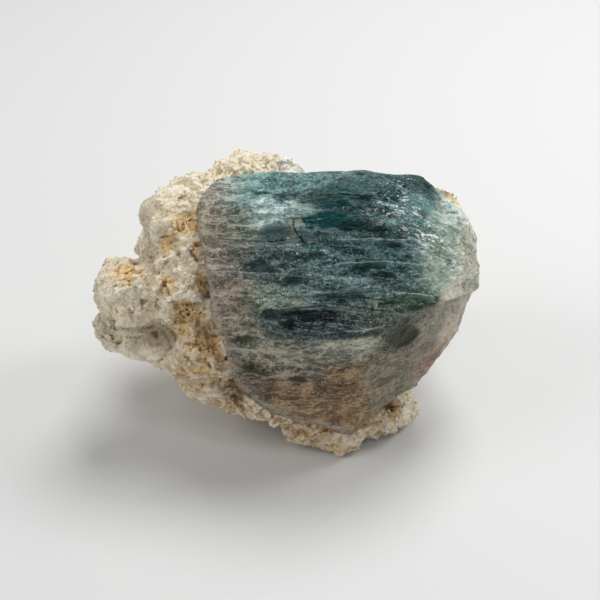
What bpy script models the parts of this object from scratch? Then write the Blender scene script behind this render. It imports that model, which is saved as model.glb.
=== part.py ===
"""A hackmanite crystal half grown over by its pale, lumpy matrix: two solids that meet face to face.

Lengths are written in millimetres and become metres through MM. +X runs along the crystal, its
broken face looks along -Y and +Z is up. The tables share one set of coordinates, and the finished
specimen is then moved so that it stands at Z = 0 with the origin under the middle of its box.
"""

from math import floor, radians

import bmesh
import bpy
from mathutils import Euler, Matrix, Vector, noise

MM = 0.001

# The crystal's long edges, each from its left end to its right end.
CRYSTAL_EDGES = {
    "back of the top": [(-9.6, 7, 33.4), (-3.5, 8.5, 33), (5.9, 8.5, 33.3), (12.2, 7.5, 34.2), (18.3, 6.4, 34)],
    "front of the top": [(-12.2, 1, 32.8), (1.8, 1, 33), (13.9, 3, 33.7)],
    "left end": [(-11.6, -3.5, 29.6), (-10, -8.4, 25.8), (-8.5, -12.6, 18.3)],
    "front": [(1.8, -13.4, 22.9), (12.2, -12.8, 22.7), (19.7, -8, 23.9)],
    "foot": [(-7.2, -13.1, 14.2), (-5.2, -13.5, 10), (-2.4, -13.6, 8), (1.2, -13.6, 6.8), (6, -13.4, 4.2),
             (8.6, -12.8, 3.1), (15.6, -9.4, 6.3)],
    "right rim": [(21.8, 6, 31), (25.3, 4.7, 28.3), (27, 3.6, 24.4), (27.6, 2, 21), (26, -1, 18),
                  (24, -3, 14.8), (22.5, -4.6, 11.4), (20.4, -6, 8.8)],
    "back": [(-9, 12, 27), (2, 15, 27), (13, 14, 26), (21, 10.5, 23), (-7, 13, 14), (5, 16, 13), (16, 13, 12),
             (22.5, 7, 15)],
    "underside": [(-5, -4, 10), (-4, 9, 6), (8, 11, 4), (16, 6, 5)],
}
CRYSTAL_GRAIN = 0.8  # spacing of the crystal's points before it is thinned
CRYSTAL_TRIANGLES = 3800

# The broken face: shelves that run along +X, split into blocks, and shell-shaped scars.
SHELF_WIDTH = 3.1
SHELF_CLIMB = (0.06, 0.4, 1)  # the way up across the shelves
SHELF_DEPTH = 0.45
SHELF_WANDER = 3
WANDER_LENGTH = 14
WANDER_WIDTH = 8
BLOCK_LENGTH = 9
BLOCK_STEP = 1.1
SHELVES_TURN = 0.6  # how far a surface may turn to the back before its shelves start to fade
SHELVES_END = 22.4  # X at which the shelves have died out
SHELVES_FADE = 16  # length over which they do
SCAR_SIZE = 6
SCAR_DEPTH = 0.8
SCAR_REACH = 0.8  # from a scar's middle to its rim, in scar sizes

# Matrix lumps: centre, half sizes, and turn in degrees about X, Y and Z.
LUMPS = {
    "core": ((-11.6, 5, 20), (7.5, 10.5, 11.6), (0, 0, 0)),
    "neck": ((-14, -2.5, 20), (5.4, 5.8, 6.2), (0, 0, 0)),
    "upper left lobe": ((-15.6, 4.8, 26.4), (4.9, 6.4, 6), (0, 0, 0)),
    "shoulder": ((-12.4, 8.4, 27.2), (4.4, 5.4, 4.6), (0, 0, 0)),
    "back lobe": ((-6.6, 13.6, 28.7), (4.9, 4.8, 4.1), (0, 0, 0)),
    "back knob": ((-2.3, 14, 28.2), (4.2, 4.2, 3.8), (0, 0, 0)),
    "left lobe": ((-21.3, -2.2, 20.4), (5.8, 5.2, 4.8), (0, 12, 0)),
    "left rear lobe": ((-16.4, 9.6, 19), (5.2, 5.6, 5.8), (0, 0, 0)),
    "left rear foot": ((-13.4, 5.6, 10.4), (5.4, 6, 4.6), (0, 20, 0)),
    "shelf": ((-19.3, -3.8, 13.6), (7.7, 5, 2.1), (0, 15, 4)),
    "shelf root": ((-11.2, -3.8, 13), (6.5, 7, 5.2), (0, 20, 0)),
    "low lobe": ((-10.6, -6, 8), (5, 5, 2.6), (0, 18, 0)),
    "low lobe tail": ((-5.6, -7.2, 6), (3.4, 4.2, 2.5), (0, 16, 0)),
    "sole": ((3.4, -0.4, 5.4), (13, 10.6, 5.2), (0, 6, 0)),
    "front toe": ((7.8, -10.6, 1), (3, 3, 2.8), (0, 0, 0)),
    "chin": ((-2.4, -10.4, 6.4), (4.4, 2.6, 2), (0, 24, 0)),
    "middle toe": ((2.4, -10, 1.9), (3.8, 3.4, 2.9), (0, 24, 0)),
    "right toe": ((16.3, -6, 1.4), (2.6, 3.2, 2.8), (0, 0, 0)),
    "right heel": ((11.6, -8.7, 1.7), (3.6, 3, 2.4), (0, 0, 0)),
    "left heel": ((-5, -2, 1.7), (4, 4.2, 3.7), (0, 0, 0)),
    "back heel": ((4, 9, 1.6), (7, 5, 3.6), (0, 0, 0)),
    "back wall": ((-3, 12.6, 14.6), (11, 5.4, 11.6), (0, 0, 0)),
    "back plate": ((8, 14, 13.4), (13, 5, 10.4), (0, -14, 0)),
    "back boss": ((6, 16, 8), (5.4, 4, 5), (0, 0, 0)),
    "right rib": ((16.8, 11.8, 20), (7, 4.8, 7.4), (0, -20, -20)),
    "right crumb": ((20.8, 9, 26.2), (4, 3, 4.2), (0, -20, 0)),
}
MATRIX_GRAIN = 0.8  # spacing of the matrix's points before it is thinned
SWELL_SIZE = 6
SWELL_HEIGHT = 1
CHIP_SIZE = 4.6
CHIP_HEIGHT = 1.8
KNOB_SIZE = 2.4
KNOB_HEIGHT = 0.5
MATRIX_TRIANGLES = 4700  # what the fused lumps are thinned to
CONTACT_GAP = 0.3  # between crystal and matrix

# Weathered hollows in the matrix: middle, radius and depth.
HOLLOWS = {
    "top saddle": ((-13.2, -0.3, 30.6), 2.4, 0.8),
    "rim notch": ((-11.5, -2.7, 28.5), 1.6, 0.8),
    "side dimple": ((-15.9, -1.9, 28.2), 2, 0.7),
    "deep holes": ((-16.2, -6, 25), 1.9, 1.2),
    "brown hollow": ((-11.3, -5.5, 24), 1.9, 0.9),
    "big pocket": ((-13.6, -7.9, 20.6), 3, 1.5),
    "porous pocket": ((-10.4, -9.6, 16.8), 2.4, 0.8),
    "streak": ((-11.8, -10.9, 14.3), 1.7, 0.7),
    "crevice tip": ((-23.4, -4.6, 15.6), 2.4, 1.2),
    "crevice middle": ((-20, -6, 15.6), 2.6, 1.4),
    "crevice root": ((-17, -6.4, 15.8), 2.4, 1.2),
    "lobe top": ((-22.1, -4.1, 25.5), 2.4, 0.5),
    "rear pocket": ((-9, 17.6, 18), 3.2, 1.4),
    "rear slot": ((4, 17, 14), 3, 1.3),
    "left pocket": ((-19, 3, 18), 3, 1.4),
}
STANDING_HEIGHT = -1.35  # the plane that the feet reach
FEET_TOP = -0.6  # a foot starts at the point below this that is nearest to its place
# The feet: X, Y, and how far the foot's flat reaches.
FEET = ((-6, -1, 0), (17.6, -4.6, 0), (0.9, 8.6, 1.8))
UNDERSIDE_HEIGHT = 0.4  # how far the rest of the underside is worn clear of that plane
UNDERSIDE_CLIMB = 0.15  # how fast it rises from the feet

CRYSTAL_COLOUR = (0.06, 0.15, 0.15)
CRYSTAL_ROUGHNESS = 0.25
MATRIX_COLOUR = (0.6, 0.53, 0.41)
MATRIX_ROUGHNESS = 0.85


def fresh_scene():
    for thing in list(bpy.data.objects):
        bpy.data.objects.remove(thing)


def add_object(name, shape):
    """A new object that holds the bmesh, which is freed."""
    mesh = bpy.data.meshes.new(name)
    shape.to_mesh(mesh)
    shape.free()
    thing = bpy.data.objects.new(name, mesh)
    bpy.context.scene.collection.objects.link(thing)
    return thing


def give_stone(thing, colour, roughness):
    """Gives the thing a plain material of its own."""
    stone = bpy.data.materials.new(thing.name)
    stone.use_nodes = True
    surface = stone.node_tree.nodes["Principled BSDF"]
    surface.inputs["Base Color"].default_value = (*colour, 1)
    surface.inputs["Roughness"].default_value = roughness
    surface.inputs["Metallic"].default_value = 0
    thing.data.materials.append(stone)


def apply_modifiers(thing):
    graph = bpy.context.evaluated_depsgraph_get()
    mesh = bpy.data.meshes.new_from_object(thing.evaluated_get(graph))
    thing.modifiers.clear()
    thing.data = mesh


def even_points(thing, grain):
    remesh = thing.modifiers.new("even points", "REMESH")
    remesh.mode = "VOXEL"
    remesh.voxel_size = grain * MM
    apply_modifiers(thing)


def thin_out(thing, triangles):
    thin = thing.modifiers.new("thin out", "DECIMATE")
    thin.use_collapse_triangulate = True
    thing.data.calc_loop_triangles()
    thin.ratio = triangles / len(thing.data.loop_triangles)
    apply_modifiers(thing)


def displace(thing, height):
    """Moves each point along its normal by height(point, normal), all in millimetres."""
    normals = [Vector(normal.vector) for normal in thing.data.vertex_normals]
    for vertex, normal in zip(thing.data.vertices, normals):
        vertex.co += normal * height(vertex.co / MM, normal) * MM
    thing.data.update()


def share(value):
    """The value held between 0 and 1."""
    return max(0, min(1, value))


def scars(point):
    """0 in the middle of a shell-shaped scar, rising to 1 on the ridges between scars."""
    from_middle = noise.voronoi(point / SCAR_SIZE)[0][0]
    return share((from_middle / SCAR_REACH) ** 2)


def crystal_relief(point, normal):
    """The height of the crystal's surface over its flat-sided block."""
    across = point.dot(Vector(SHELF_CLIMB))
    place = Vector((point.x / WANDER_LENGTH, across / WANDER_WIDTH, 0))
    across += SHELF_WANDER * noise.noise(place)
    shelf = floor(across / SHELF_WIDTH)
    rise = across / SHELF_WIDTH - shelf
    # Each shelf reads the noise along its own line, so its blocks are its own.
    block = noise.noise(Vector((point.x / BLOCK_LENGTH, 3.7 * shelf, 1.5)))
    strength = share(SHELVES_TURN - normal.y) * share((SHELVES_END - point.x) / SHELVES_FADE)
    strength *= share(1 + normal.x)  # the left end is plain
    shelves = strength * (SHELF_DEPTH * (rise - 0.5) + BLOCK_STEP * block)
    return shelves + SCAR_DEPTH * (scars(point) - 0.4)


def crystal_block():
    """The convex block that the crystal's edges span, broken up by shelves and scars."""
    shape = bmesh.new()
    for edge in CRYSTAL_EDGES.values():
        for corner in edge:
            shape.verts.new(Vector(corner) * MM)
    bmesh.ops.convex_hull(shape, input=shape.verts)
    inner = [point for point in shape.verts if not point.link_faces]
    bmesh.ops.delete(shape, geom=inner, context="VERTS")
    block = add_object("hackmanite_crystal", shape)
    even_points(block, CRYSTAL_GRAIN)
    displace(block, crystal_relief)
    thin_out(block, CRYSTAL_TRIANGLES)
    return block


def chips(point):
    """A mosaic of small flats, each leaning its own way, around 0."""
    middle = noise.voronoi(point / CHIP_SIZE)[1][0]
    lean = noise.cell_vector(middle * 9) - Vector((0.5, 0.5, 0.5))
    return lean.dot(point / CHIP_SIZE - middle)


def matrix_relief(point, normal):
    """The height of the matrix's surface over its smooth lumps."""
    height = SWELL_HEIGHT * noise.noise(point / SWELL_SIZE)
    height += CHIP_HEIGHT * chips(point)
    height += KNOB_HEIGHT * noise.noise(point / KNOB_SIZE)
    for middle, radius, depth in HOLLOWS.values():
        from_middle = (point - Vector(middle)).length / radius
        height -= depth * share(1 - from_middle**2)
    return height


def matrix_lumps():
    """All the lumps of the matrix fused into one body."""
    shape = bmesh.new()
    for centre, half_sizes, turn in LUMPS.values():
        turned = Euler([radians(angle) for angle in turn]).to_matrix().to_4x4()
        sized = Matrix.Diagonal([half_size * MM for half_size in half_sizes]).to_4x4()
        place = Matrix.Translation(Vector(centre) * MM) @ turned @ sized
        bmesh.ops.create_icosphere(shape, subdivisions=3, radius=1, matrix=place)
    lumps = add_object("matrix", shape)
    even_points(lumps, MATRIX_GRAIN)
    displace(lumps, matrix_relief)
    thin_out(lumps, MATRIX_TRIANGLES)
    return lumps


def wear_feet(lumps):
    """Wears the underside up and away from the feet that the specimen stands on."""
    places = [vertex.co.xy / MM for vertex in lumps.data.vertices]
    low = [place for place, vertex in zip(places, lumps.data.vertices) if vertex.co.z < FEET_TOP * MM]
    feet = [(min(low, key=lambda place: (place - Vector((x, y))).length), flat) for x, y, flat in FEET]
    for place, vertex in zip(places, lumps.data.vertices):
        away = min((place - foot).length - flat for foot, flat in feet)
        ground = STANDING_HEIGHT + min(UNDERSIDE_HEIGHT, UNDERSIDE_CLIMB * max(0, away))
        vertex.co.z = max(vertex.co.z, ground * MM)


def cut_seat(lumps, block):
    """Takes the crystal, grown by the contact gap, out of the matrix."""
    cutter = bpy.data.objects.new("seat cutter", block.data.copy())
    bpy.context.scene.collection.objects.link(cutter)
    displace(cutter, lambda point, normal: CONTACT_GAP)
    seat = lumps.modifiers.new("seat", "BOOLEAN")
    seat.operation = "DIFFERENCE"
    seat.object = cutter
    apply_modifiers(lumps)
    bpy.data.objects.remove(cutter)


def piece_around(start):
    """All the points that edges join to this one."""
    piece = {start}
    reached = [start]
    while reached:
        for edge in reached.pop().link_edges:
            for vert in edge.verts:
                if vert not in piece:
                    piece.add(vert)
                    reached.append(vert)
    return piece


def keep_largest(thing):
    """Drops the crumbs that the cut leaves loose."""
    shape = bmesh.new()
    shape.from_mesh(thing.data)
    left = set(shape.verts)
    largest = set()
    while left:
        piece = piece_around(next(iter(left)))
        left -= piece
        largest = max(largest, piece, key=len)
    crumbs = [vert for vert in shape.verts if vert not in largest]
    bmesh.ops.delete(shape, geom=crumbs, context="VERTS")
    shape.to_mesh(thing.data)
    shape.free()


def stand_on_origin(things):
    """Puts the origin under the middle of the things' common box."""
    points = [vertex.co for thing in things for vertex in thing.data.vertices]
    lowest = Vector([min(point[axis] for point in points) for axis in range(3)])
    highest = Vector([max(point[axis] for point in points) for axis in range(3)])
    middle = (lowest + highest) / 2
    shift = Vector((-middle.x, -middle.y, -lowest.z))
    for thing in things:
        thing.data.transform(Matrix.Translation(shift))


fresh_scene()
crystal = crystal_block()
matrix = matrix_lumps()
wear_feet(matrix)
cut_seat(matrix, crystal)
keep_largest(matrix)
give_stone(crystal, CRYSTAL_COLOUR, CRYSTAL_ROUGHNESS)
give_stone(matrix, MATRIX_COLOUR, MATRIX_ROUGHNESS)
stand_on_origin([crystal, matrix])
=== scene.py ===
from math import cos, pi, radians, sin

import bmesh
import bpy
import numpy as np
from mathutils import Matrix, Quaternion, Vector, noise
from mathutils.bvhtree import BVHTree


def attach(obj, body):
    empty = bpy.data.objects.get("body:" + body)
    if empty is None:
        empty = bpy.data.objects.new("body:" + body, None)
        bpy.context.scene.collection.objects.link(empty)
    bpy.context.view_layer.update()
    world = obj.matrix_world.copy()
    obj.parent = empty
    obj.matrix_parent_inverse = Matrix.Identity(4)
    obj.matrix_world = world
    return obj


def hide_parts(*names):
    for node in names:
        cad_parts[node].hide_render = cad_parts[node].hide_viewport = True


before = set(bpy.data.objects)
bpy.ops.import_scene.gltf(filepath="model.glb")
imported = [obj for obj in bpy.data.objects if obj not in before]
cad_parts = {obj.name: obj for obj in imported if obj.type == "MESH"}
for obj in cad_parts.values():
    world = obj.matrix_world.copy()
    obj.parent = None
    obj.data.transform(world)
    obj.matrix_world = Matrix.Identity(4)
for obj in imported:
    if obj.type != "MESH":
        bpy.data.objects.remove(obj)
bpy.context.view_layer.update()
mm = 0.001  # places and sizes below are in millimetres, in the specimen's own frame
noise.seed_set(7)  # noise_vector then bends everything the same way in every run


def pointsOf(piece):
    flat = np.empty(len(piece.data.vertices) * 3)
    piece.data.vertices.foreach_get("co", flat)
    return flat.reshape(-1, 3) / mm


def setPoints(piece, points):
    piece.data.vertices.foreach_set("co", (points * mm).ravel())
    piece.data.update()


def normalsOf(piece):
    flat = np.empty(len(piece.data.vertices) * 3)
    piece.data.vertex_normals.foreach_get("vector", flat)
    return flat.reshape(-1, 3)


def placed(name, data):
    made = bpy.data.objects.new(name, data)
    bpy.context.scene.collection.objects.link(made)
    return made


def applied(piece):
    # the piece's mesh with its modifiers worked in
    graph = bpy.context.evaluated_depsgraph_get()
    mesh = bpy.data.meshes.new_from_object(piece.evaluated_get(graph))
    piece.modifiers.clear()
    piece.data = mesh


def fineCopy(node, name, grain, softening):
    # the node's solid again, in an even net of small faces, with its large facets softened
    piece = placed(name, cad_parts[node].data.copy())
    piece.data.materials.clear()
    remesh = piece.modifiers.new("even net", "REMESH")
    remesh.mode = "VOXEL"
    remesh.voxel_size = grain * mm
    soften = piece.modifiers.new("soften", "SMOOTH")
    soften.factor = 0.5
    soften.iterations = softening
    applied(piece)
    return piece


def hollowness(piece, rounds):
    # how far each point lies below its neighbourhood, in millimetres; less than 0 on ridges
    points = pointsOf(piece)
    ends = np.empty(len(piece.data.edges) * 2, int)
    piece.data.edges.foreach_get("vertices", ends)
    first, second = ends.reshape(-1, 2).T
    count = np.bincount(first, minlength=len(points)) + np.bincount(second, minlength=len(points))
    smooth = points.copy()
    for _ in range(rounds):
        for axis in range(3):
            values = smooth[:, axis]
            total = np.bincount(first, values[second], len(points))
            total += np.bincount(second, values[first], len(points))
            smooth[:, axis] = total / np.maximum(count, 1)
    return ((smooth - points) * normalsOf(piece)).sum(1)


def paint(piece, name, values):
    # one number, or one colour, for each point of the piece
    values = np.asarray(values, float)
    if values.ndim == 1:
        layer = piece.data.attributes.new(name, "FLOAT", "POINT")
        layer.data.foreach_set("value", values)
    else:
        colours = np.column_stack([values, np.ones(len(values))])
        layer = piece.data.attributes.new(name, "FLOAT_COLOR", "POINT")
        layer.data.foreach_set("color", colours.ravel())


def lineGap(points, start, end):
    # how far each point is from a straight line between two places
    start, end = np.array(start), np.array(end)
    share = np.clip((points - start) @ (end - start) / ((end - start) @ (end - start)), 0, 1)
    return np.linalg.norm(points - start - share[:, None] * (end - start), axis=1)


def beside(points, normals, line, reach):
    # for a broken line on the surface: how far above it each point lies, and how well within its length
    line = np.array(line, float)
    nearest = np.full(len(points), 1e9)
    side = np.zeros(len(points))
    for start, end in zip(line[:-1], line[1:]):
        run = end - start
        share = np.clip((points - start) @ run / (run @ run), 0, 1)
        away = points - (start + share[:, None] * run)
        distance = np.linalg.norm(away, axis=1)
        up = np.cross(normals, run / np.linalg.norm(run))
        closer = distance < nearest
        nearest[closer] = distance[closer]
        side[closer] = (away * up).sum(1)[closer]
    slip = np.sqrt(np.maximum(nearest**2 - side**2, 0))
    return side, (nearest < reach) * np.clip(1.4 - slip, 0, 1)


def gapsTo(points, other, reach):
    # how far each point is from another piece, up to the reach
    tree = BVHTree.FromObject(other, bpy.context.evaluated_depsgraph_get())
    gaps = np.full(len(points), float(reach))
    for index, point in enumerate(points):
        found, _, _, distance = tree.find_nearest(Vector(point) * mm, reach * mm)
        if found is not None:
            gaps[index] = distance / mm
    return gaps


def report(name, piece):
    piece.data.calc_loop_triangles()
    print(name + ":", len(piece.data.vertices), "points,", len(piece.data.loop_triangles), "triangles")


def near(points, at, reach):
    # 1 at a place, fading to 0 some way past its reach
    away = (points - np.array(at)) / np.array(reach)
    return np.exp(-(away**2).sum(1))


def linear(colour):
    # a colour as seen on a screen, 0 to 255, in the linear values that materials take
    shares = np.array(colour) / 255
    return np.where(shares < 0.04, shares / 12.92, ((shares + 0.055) / 1.055) ** 2.4)


class Signal:
    # a shader socket that can stand in a sum
    def __init__(self, shader, socket):
        self.shader = shader
        self.socket = socket

    def maths(self, operation, *values):
        return self.shader.node("Math", {"operation": operation}, dict(enumerate(values)))

    def __add__(self, other):
        return self.maths("ADD", self, other)

    def __sub__(self, other):
        return self.maths("SUBTRACT", self, other)

    def __rsub__(self, other):
        return self.maths("SUBTRACT", other, self)

    def __mul__(self, other):
        return self.maths("MULTIPLY", self, other)

    __radd__ = __add__

    def unsigned(self):
        return self.maths("ABSOLUTE", self)

    def held(self, low=0):
        # kept between low and 1
        return self.shader.node("Clamp", {}, {0: self, 1: low})

    def step(self, low, high):
        # 0 at low, 1 at high, eased between; low may be the larger
        settings = {"interpolation_type": "SMOOTHSTEP"}
        return self.shader.node("MapRange", settings, {"Value": self, "From Min": low, "From Max": high})


class Shader:
    # the nodes of a material, or of the world
    def __init__(self, owner):
        self.owner = owner
        owner.use_nodes = True
        self.tree = owner.node_tree
        self.tree.nodes.clear()

    def node(self, kind, settings, sockets, out=0):
        made = self.tree.nodes.new("ShaderNode" + kind)
        for name, value in settings.items():
            setattr(made, name, value)
        for name, value in sockets.items():
            if isinstance(value, Signal):
                self.tree.links.new(value.socket, made.inputs[name])
            else:
                made.inputs[name].default_value = value
        return Signal(self, made.outputs[out]) if made.outputs else made

    def painted(self, name, out="Fac"):
        return self.node("Attribute", {"attribute_name": name}, {}, out)

    def vector(self, operation, first, second, out=0):
        return self.node("VectorMath", {"operation": operation}, {0: first, 1: second}, out)

    def mix(self, share, first, second, blend="MIX"):
        settings = {"data_type": "RGBA", "blend_type": blend}
        return self.node("Mix", settings, {"Factor": share, 6: first, 7: second}, 2)

    def noise(self, place, size, detail=3, roughness=0.55, out=0):
        sockets = {"Vector": place, "Scale": 1 / size, "Detail": detail, "Roughness": roughness}
        return self.node("TexNoise", {}, sockets, out)

    def cells(self, place, size, feature="F1", out=0):
        return self.node("TexVoronoi", {"feature": feature}, {"Vector": place, "Scale": 1 / size}, out)

    def place(self):
        # where on the specimen, in millimetres
        here = self.node("TexCoord", {}, {}, "Object")
        return self.vector("MULTIPLY", here, (1 / mm, 1 / mm, 1 / mm))

    def bent(self, place, size, amount):
        # the place pushed about by a slow noise
        push = self.vector("SUBTRACT", self.noise(place, size, 2, out=1), (0.5, 0.5, 0.5))
        return self.vector("ADD", place, self.vector("MULTIPLY", push, (amount, amount, amount)))

    def lots(self, place, size):
        # one random number for each cell
        return self.node("SeparateColor", {}, {0: self.cells(place, size, out="Color")}, 0)

    def stretched(self, place, along, across):
        # cells made on this place come out long in X
        return self.vector("DIVIDE", place, (along, across, across))

    def leaning(self, place, size):
        # a mosaic of small flats, each tilted its own way
        middle = self.cells(place, size, out="Position")
        lean = self.vector("SUBTRACT", self.cells(place, size, out="Color"), (0.5, 0.5, 0.5))
        return self.vector("DOT_PRODUCT", lean, self.vector("SUBTRACT", place, middle), "Value")

    def finish(self, surface):
        self.node("OutputMaterial", {}, {"Surface": surface})
        return self.owner


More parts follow.
